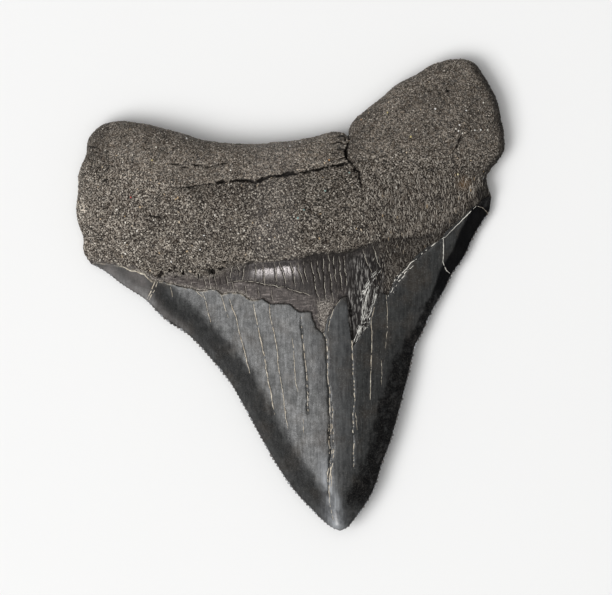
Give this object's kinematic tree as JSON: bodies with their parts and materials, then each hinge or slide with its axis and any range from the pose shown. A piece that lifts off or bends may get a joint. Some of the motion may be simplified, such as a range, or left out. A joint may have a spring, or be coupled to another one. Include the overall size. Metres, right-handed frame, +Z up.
{
  "type": "fossil megalodon tooth",
  "caption": "Large fossil shark tooth lying flat: a broad serrated triangular crown below a rough, cracked, two-lobed root.",
  "frame": {"origin": "on the surface that the tooth lies on, under the middle of its bounding box", "axes": "+Y from the tip towards the root lobes, +Z up out of the domed lingual face, +X to the right in a view straight down with the tip towards the viewer"},
  "size_m": [0.0834, 0.092, 0.0184],
  "materials": {
    "root": "matte",
    "enamel": "gloss",
    "mineral": "matte"
  },
  "bodies": {
    "root": {"tooth": "root"}
  },
  "joints": []
}
